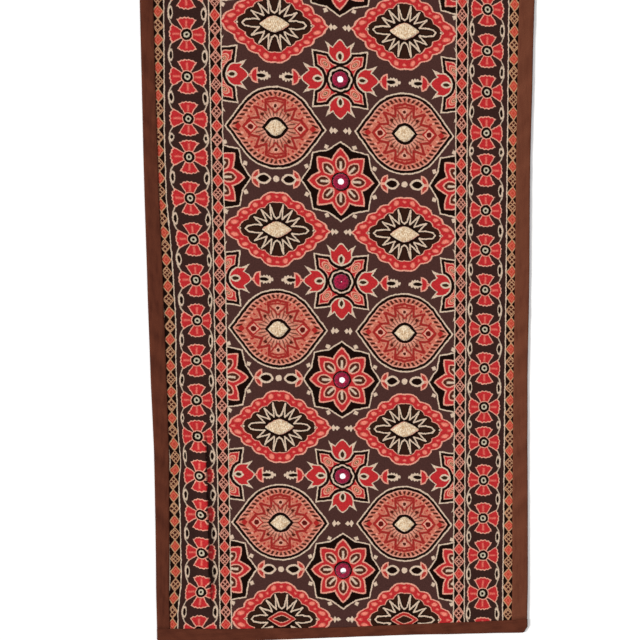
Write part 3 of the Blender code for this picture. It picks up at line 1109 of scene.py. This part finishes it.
# %% Build the strips
STRIP_MIDDLE_TOP = strip_top - STRIP_THICKNESS / 2
STRIP_MIDDLE_BOTTOM = STRIP_THICKNESS / 2
SECTION_STEPS = 26
FOLD_SHARE = 0.16
SEAM_DIP = 0.00022
PUCKER = 0.00016
PUCKER_REACH = 0.006
PUCKER_RATE = 690
STRIP_WAVE = 0.00022
CREASE = 0.0003
SIDE_SPACING = 0.0045
END_SPACING = 0.0016


def hairpin(share, width):
    """Place and height on the folded strip: share 0 is the upper seam and 1 the lower one."""
    radius = (STRIP_MIDDLE_TOP - STRIP_MIDDLE_BOTTOM) / 2
    flat = (1 - FOLD_SHARE) / 2
    middle = (STRIP_MIDDLE_TOP + STRIP_MIDDLE_BOTTOM) / 2
    inset = radius + STRIP_THICKNESS / 2
    if share < flat:
        out = share / flat
        dip = SEAM_DIP * (1 - ease(out / 0.10))
        return out * (width - inset), STRIP_MIDDLE_TOP - dip
    if share > 1 - flat:
        out = (1 - share) / flat
        return out * (width - inset), STRIP_MIDDLE_BOTTOM
    turn = math.pi * (share - flat) / FOLD_SHARE
    return width - inset + radius * math.sin(turn), middle + radius * math.cos(turn)


def build_strip(name, low, high, seam_at, edge_at, place_at, spacing, cotton):
    """Bend a grid round the edge: place_at turns (out from seam, along, height) into a point."""
    steps = max(2, round((high - low) / spacing))
    bm = bmesh.new()
    uv_layer = bm.loops.layers.uv.new(UV_NAME)
    bmesh.ops.create_grid(bm, x_segments=SECTION_STEPS, y_segments=steps, size=1.0)
    flat = {}
    for vert in bm.verts:
        share = (vert.co.x + 1) / 2
        along = low + (high - low) * (vert.co.y + 1) / 2
        width = abs(edge_at(along) - seam_at(along))
        out, height = hairpin(share, width)
        if share < 0.5:
            pull = ease(1 - out / PUCKER_REACH)
            ripple = math.sin(along * PUCKER_RATE + 2 * noise.noise(Vector((along * 30, 0.0, 1.0))))
            soft = noise.noise(Vector((along * 22, out * 60, 5.0)))
            crease = noise.noise(Vector(((along - CREASE_SLANT * out) * 60, 0.0, 9.0)))
            height += PUCKER * pull * ripple + (STRIP_WAVE * soft + CREASE * crease) * ease(out / 0.003)
        flat[vert] = (share * 2 * width * 1000, along * 1000)
        vert.co = place_at(out, along, height)
    for face in bm.faces:
        for loop in face.loops:
            loop[uv_layer].uv = flat[loop.vert]
    strip = link_object(name, bm, [cotton])
    shell = strip.modifiers.new("thickness", "SOLIDIFY")
    shell.thickness = STRIP_THICKNESS
    shell.offset = 0.0
    return strip


def build_side_strip(side, name):
    """A strip along a long edge, from one end strip's seam to the other's."""
    def seam_at(y):
        return side_seam(side, y)

    def edge_at(y):
        return side_edge(side, y)

    def place_at(out, y, height):
        x = seam_at(y) + side * out
        near = end_seam(-1, x)
        far = end_seam(1, x)
        share = (y - low) / (high - low)
        return (x, near + (far - near) * share, height)

    low = end_seam(-1, side_edge(side, cad_low.y))
    high = end_seam(1, side_edge(side, cad_high.y))
    cotton = brown_cotton if side < 0 else russet_cotton
    return build_strip(name, low, high, seam_at, edge_at, place_at, SIDE_SPACING, cotton)


CORNER_RADIUS = 0.003


def corner_drop(to_side):
    """How far a hem draws in at its rounded corner."""
    short = max(0.0, CORNER_RADIUS - to_side)
    return CORNER_RADIUS - math.sqrt(max(0.0, CORNER_RADIUS ** 2 - short ** 2))


def build_end_strip(end, name):
    """A strip over a short edge, as wide as the runner."""
    left = side_edge(-1, end * HALF_LENGTH)
    right = side_edge(1, end * HALF_LENGTH)

    def seam_at(x):
        return end_seam(end, x)

    def edge_at(x):
        return end_edge(end, x) - end * corner_drop(min(x - left, right - x))

    def place_at(out, x, height):
        return (x, seam_at(x) + end * out, height)

    return build_strip(name, left, right, seam_at, edge_at, place_at, END_SPACING, brown_cotton)


strips = {
    "side_strip_left": build_side_strip(-1, "left_strip"),
    "side_strip_right": build_side_strip(1, "right_strip"),
    "end_strip_near": build_end_strip(-1, "near_strip"),
    "end_strip_far": build_end_strip(1, "far_strip"),
}
print("strips:", sorted(strips))

# %% [markdown]
# ## The mirrors
#
# Each mirror is a disc of silvered glass as wide as a shirt button. A cone operator with equal radii makes
# the disc, and a small bevel on its rims gives the ground edge that catches light. All sixteen are one
# mesh, because they share one finish and nothing moves.

# %% Build the mirrors
MIRROR_COUNT = 16
MIRROR_NODES = [f"mirror_{index:02d}" for index in range(1, MIRROR_COUNT + 1)]
COLLAR_NODES = [f"mirror_collar_{index:02d}" for index in range(1, MIRROR_COUNT + 1)]
mirror_boxes = [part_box(node) for node in MIRROR_NODES]
mirror_places = [(low + high) / 2 for low, high in mirror_boxes]
MIRROR_RADIUS = (mirror_boxes[0][1].y - mirror_boxes[0][0].y) / 2
MIRROR_DEPTH = mirror_boxes[0][1].z - mirror_boxes[0][0].z
MIRROR_SIDES = 32
MIRROR_BEVEL = 0.00018
MIRROR_HAZE = 0.22
HAZE_SCALE = 900.0
MIRROR_TINT = (0.93, 0.83, 0.84, 1.0)


def spots(coordinates, scale):
    """Noise in a piece's own space, for pieces that have no flat cloth."""
    node = add_node("ShaderNodeTexNoise", noise_dimensions="3D")
    feed(node.inputs["Vector"], coordinates.outputs["Object"])
    node.inputs["Scale"].default_value = scale
    return node.outputs[0]


bm = bmesh.new()
for place in mirror_places:
    disc = bmesh.ops.create_cone(bm, cap_ends=True, segments=MIRROR_SIDES, radius1=MIRROR_RADIUS,
                                 radius2=MIRROR_RADIUS, depth=MIRROR_DEPTH)["verts"]
    bmesh.ops.translate(bm, verts=disc, vec=place)
rims = [edge for edge in bm.edges if len(edge.link_faces) == 2 and edge.calc_face_angle() > 1.0]
bmesh.ops.bevel(bm, geom=rims, offset=MIRROR_BEVEL, affect="EDGES", segments=2, profile=0.5, material=-1)
bmesh.ops.recalc_face_normals(bm, faces=bm.faces)

glass, shader = start_material("silvered_mirror", 0.08)
shader.inputs["Base Color"].default_value = MIRROR_TINT
shader.inputs["Metallic"].default_value = 1.0
haze = spots(add_node("ShaderNodeTexCoord"), HAZE_SCALE)
feed(shader.inputs["Roughness"], Ink(haze) * MIRROR_HAZE)
mirrors = link_object("mirrors", bm, [glass])
mirrors.data.set_sharp_from_angle(angle=math.radians(35))
print(len(mirror_places), "mirrors of", round(2000 * MIRROR_RADIUS, 1), "mm")

# %% [markdown]
# ## The thread collars
#
# Thread over the rim of each mirror holds it down: dozens of stitches side by side that start in the cloth,
# climb over the edge of the glass and dive under a ring of thread. A ring with a bump map would look
# cast, so every stitch here is its own small arch. The spin operator makes an arch by turning a five-sided
# loop half round, and copies of it are turned and tilted about the mirror. A soft ring lies under them, so
# no gap shows.

# %% Build the collars
random.seed(7)
collar_low, collar_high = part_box("mirror_collar_01")
COLLAR_RADIUS = (collar_high.x - collar_low.x) / 2
COLLAR_OPENING = 0.0024
COLLAR_BASE = PANEL_THICKNESS
COLLAR_TOP = collar_high.z
COLLAR_MARGIN = 0.0003
STITCHES = 40
THREAD_RADIUS = 0.00036
COVERED_MIRROR = 3
RING_INSIDE = 0.0006
RING_OUTSIDE = 0.0008
RING_BELOW = 0.0004
INNER_SPREAD = (-0.0001, 0.0003)
OUTER_SPREAD = (0.0, 0.0004)
TOP_SPREAD = (0.0, 0.00025)
TURN_SPREAD = (-0.25, 0.25)
ORIGIN = (0.0, 0.0, 0.0)
stitch_mesh = bpy.data.meshes.new("stitch")


def pour(bm, part):
    """Copy a small bmesh into a large one, and let the small one go."""
    part.to_mesh(stitch_mesh)
    part.free()
    bm.from_mesh(stitch_mesh)


def add_arch(bm, inner, outer, base, top, thread, turn, place):
    """One stitch: a thread bent over from an outer point down to an inner one, turned and put in place."""
    arch = bmesh.new()
    ring = bmesh.ops.create_circle(arch, segments=5, radius=thread)["verts"]
    bmesh.ops.translate(arch, verts=ring, vec=(1.0, 0.0, 0.0))
    bmesh.ops.spin(arch, geom=ring + arch.edges[:], cent=ORIGIN, axis=(0.0, 1.0, 0.0), angle=-math.pi,
                   steps=6)
    half = (outer - inner) / 2
    for vert in arch.verts:
        bend = math.atan2(vert.co.z, vert.co.x)
        lift = math.hypot(vert.co.x, vert.co.z) - 1.0
        vert.co.x = (inner + outer) / 2 + (half + lift) * math.cos(bend)
        vert.co.z = base + (top - base - thread) * max(0.0, math.sin(bend)) + lift * math.sin(bend)
    bmesh.ops.holes_fill(arch, edges=arch.edges[:], sides=5)
    bmesh.ops.recalc_face_normals(arch, faces=arch.faces)
    bmesh.ops.rotate(arch, verts=arch.verts, cent=ORIGIN, matrix=Matrix.Rotation(turn, 3, "Z"))
    bmesh.ops.translate(arch, verts=arch.verts, vec=place)
    pour(bm, arch)


def add_support_ring(bm, place, inner, outer, base, top):
    """A soft closed ring under the stitches."""
    ring = bmesh.new()
    section = bmesh.ops.create_circle(ring, segments=8, radius=1.0)["verts"]
    bmesh.ops.rotate(ring, verts=section, cent=ORIGIN, matrix=Matrix.Rotation(math.pi / 2, 3, "X"))
    bmesh.ops.scale(ring, verts=section, vec=((outer - inner) / 2, 1.0, (top - base) / 2))
    bmesh.ops.translate(ring, verts=section, vec=((inner + outer) / 2, 0.0, (base + top) / 2))
    bmesh.ops.spin(ring, geom=section + ring.edges[:], cent=ORIGIN, axis=(0.0, 0.0, 1.0), angle=math.tau,
                   steps=24, use_merge=True)
    bmesh.ops.recalc_face_normals(ring, faces=ring.faces)
    bmesh.ops.translate(ring, verts=ring.verts, vec=place)
    pour(bm, ring)


bm = bmesh.new()
for index, mirror_place in enumerate(mirror_places):
    place = (mirror_place.x, mirror_place.y, 0.0)
    opening = 0.0 if index == COVERED_MIRROR else COLLAR_OPENING
    add_support_ring(bm, place, opening + RING_INSIDE, COLLAR_RADIUS - RING_OUTSIDE, COLLAR_BASE,
                     COLLAR_TOP - RING_BELOW)
    for k in range(STITCHES):
        inner = opening + random.uniform(*INNER_SPREAD)
        outer = COLLAR_RADIUS - COLLAR_MARGIN - random.uniform(*OUTER_SPREAD)
        top = COLLAR_TOP - random.uniform(*TOP_SPREAD)
        turn = math.tau * (k + random.uniform(*TURN_SPREAD)) / STITCHES
        add_arch(bm, inner, outer, COLLAR_BASE, top, THREAD_RADIUS, turn, place)
print("collar stitches:", STITCHES * len(mirror_places))

# %% [markdown]
# ## Thread
#
# Embroidery thread is twisted and shines a little. A coarse noise varies its colour from stitch to stitch,
# a fine noise lifts the twist, and a sheen lights its edges. The magenta and the ivory thread differ only
# in their colours and in how rough they are.

# %% Thread
BLOTCH_SCALE = 700.0
TWIST_SCALE = 3200.0
TWIST_DEPTH = 0.0001
THREAD_SHEEN = 0.25


def thread_material(name, color, shade, roughness):
    """Twisted embroidery thread: colour that varies from stitch to stitch, and a soft sheen."""
    made, thread_shader = start_material(name, roughness)
    coordinates = add_node("ShaderNodeTexCoord")
    blotch = Ink(spots(coordinates, BLOTCH_SCALE))
    feed(thread_shader.inputs["Base Color"], paint(color, shade, blotch * 3.2 - 1.1))
    twist = spots(coordinates, TWIST_SCALE)
    bump = add_node("ShaderNodeBump")
    bump.inputs["Strength"].default_value = 0.6
    bump.inputs["Distance"].default_value = TWIST_DEPTH
    feed(bump.inputs["Height"], twist)
    feed(thread_shader.inputs["Normal"], bump.outputs[0])
    thread_shader.inputs["Sheen Weight"].default_value = THREAD_SHEEN
    return made


magenta_thread = thread_material("magenta_thread", tone(186, 26, 72), tone(112, 10, 42), 0.5)
ivory_thread = thread_material("ivory_thread", tone(255, 238, 210), tone(210, 172, 130), 0.6)
collars = link_object("mirror_stitching", bm, [magenta_thread])
print("faces of the stitching:", len(collars.data.polygons))

# %% [markdown]
# ## The stitched middles of the eyes
#
# Ivory thread fills the almond in the middle of every eye. Long stitches would sag and snag, so the maker
# works rows of short ones, each row set off from the last like bricks. The same arch serves again: each
# stitch is as long as its row allows and ends where the almond ends. A low dome of the same ivory lies
# under the thread.

# %% Build the ivory stitching
IVORY_TOP = 0.0011
TIP_SHARE = 0.55
MIDDLE_SHARE = 0.45
ALMOND_FULLNESS = 1.5
DOME_RISE = 0.0005
DOME_CROWN = (0.75, 0.7, 1.0)
THREAD_SHARE = 0.56
PAD_SINK = 0.0001
CROWN_SPREAD = (0.88, 1.08)
ROW_SPREAD = (-0.00008, 0.00008)
LAST_EYE_ROW = 15


def almond_half_height(x, half_length, half_height):
    """Half the height of a pointed almond at a distance from its middle."""
    share = min(1.0, abs(x) / half_length)
    return half_height * (1.0 - share ** ALMOND_FULLNESS)


def add_dome(bm, middle, half_length, half_height):
    """A low almond-shaped dome."""
    dome = bmesh.new()
    disc = bmesh.ops.create_circle(dome, cap_ends=True, segments=24, radius=1.0)["verts"]
    for vert in disc:
        x = vert.co.x * half_length
        vert.co = (x, math.copysign(almond_half_height(x, half_length, half_height), vert.co.y), 0.0)
    raised = bmesh.ops.extrude_face_region(dome, geom=dome.faces[:])["geom"]
    crown = [item for item in raised if isinstance(item, bmesh.types.BMVert)]
    bmesh.ops.scale(dome, verts=crown, vec=DOME_CROWN)
    bmesh.ops.translate(dome, verts=crown, vec=(0.0, 0.0, DOME_RISE))
    bmesh.ops.recalc_face_normals(dome, faces=dome.faces)
    bmesh.ops.translate(dome, verts=dome.verts, vec=middle)
    pour(bm, dome)


def add_pad(bm, middle, half_length, half_height, pitch, stitch_length):
    """A stitched almond: rows of short stitches over a dome."""
    add_dome(bm, middle, half_length, half_height)
    count = round(2 * half_length / pitch)
    for k in range(count):
        x = -half_length + (k + 0.5) * 2 * half_length / count
        half = almond_half_height(x, half_length, half_height)
        pieces = max(1, round(2 * half / stitch_length))
        shift = 0.5 * (k % 2) / pieces if pieces > 1 else 0.0
        stops = [0.0] + [(j + 1) / pieces - shift for j in range(pieces - 1)] + [1.0]
        for start, stop in zip(stops, stops[1:]):
            low = -half + 2 * half * start
            high = -half + 2 * half * stop
            crown = IVORY_TOP * (TIP_SHARE + MIDDLE_SHARE * half / half_height)
            crown *= random.uniform(*CROWN_SPREAD)
            place = (middle[0] + x + random.uniform(*ROW_SPREAD), middle[1], middle[2])
            add_arch(bm, low, high, 0.0, crown, pitch * THREAD_SHARE, math.pi / 2, place)


LOBED_PAD = {"half_length": 0.0132, "half_height": 0.0070, "pitch": 0.00082, "stitch_length": 0.0046}
ROUND_PAD = {"half_length": 0.0092, "half_height": 0.0072, "pitch": 0.00074, "stitch_length": 0.0080}


def build_pads(name, first_row, sizes):
    """All the pads of one kind of eye, which lie in every second row."""
    bm = bmesh.new()
    count = 0
    for row in range(first_row, LAST_EYE_ROW + 1, 2):
        for side in (-1, 1):
            x = side * EYE_OFFSET / 1000
            y = (FIRST_ROSETTE + ROW_PITCH * (row - 0.5)) / 1000 - PRINT_SKEW * x - HALF_LENGTH
            add_pad(bm, (x, y, panel_underside(x, y) + PANEL_THICKNESS - PAD_SINK), **sizes)
            count += 1
    print(name, count, "pads,", len(bm.faces), "faces")
    return link_object(name, bm, [ivory_thread])


lobed_pads = build_pads("ivory_stitching_lobed", 2, LOBED_PAD)
round_pads = build_pads("ivory_stitching_round", 1, ROUND_PAD)
bpy.data.meshes.remove(stitch_mesh)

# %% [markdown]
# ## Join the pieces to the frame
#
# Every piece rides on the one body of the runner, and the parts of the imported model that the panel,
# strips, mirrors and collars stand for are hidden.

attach(panel, "root")
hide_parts("printed_panel")

for node, strip in strips.items():
    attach(strip, "root")
    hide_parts(node)

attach(mirrors, "root")
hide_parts(*MIRROR_NODES)

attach(collars, "root")
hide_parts(*COLLAR_NODES)

for pads in (lobed_pads, round_pads):
    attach(pads, "root")
print("cloth declared:", [panel.name] + [strip.name for strip in strips.values()])
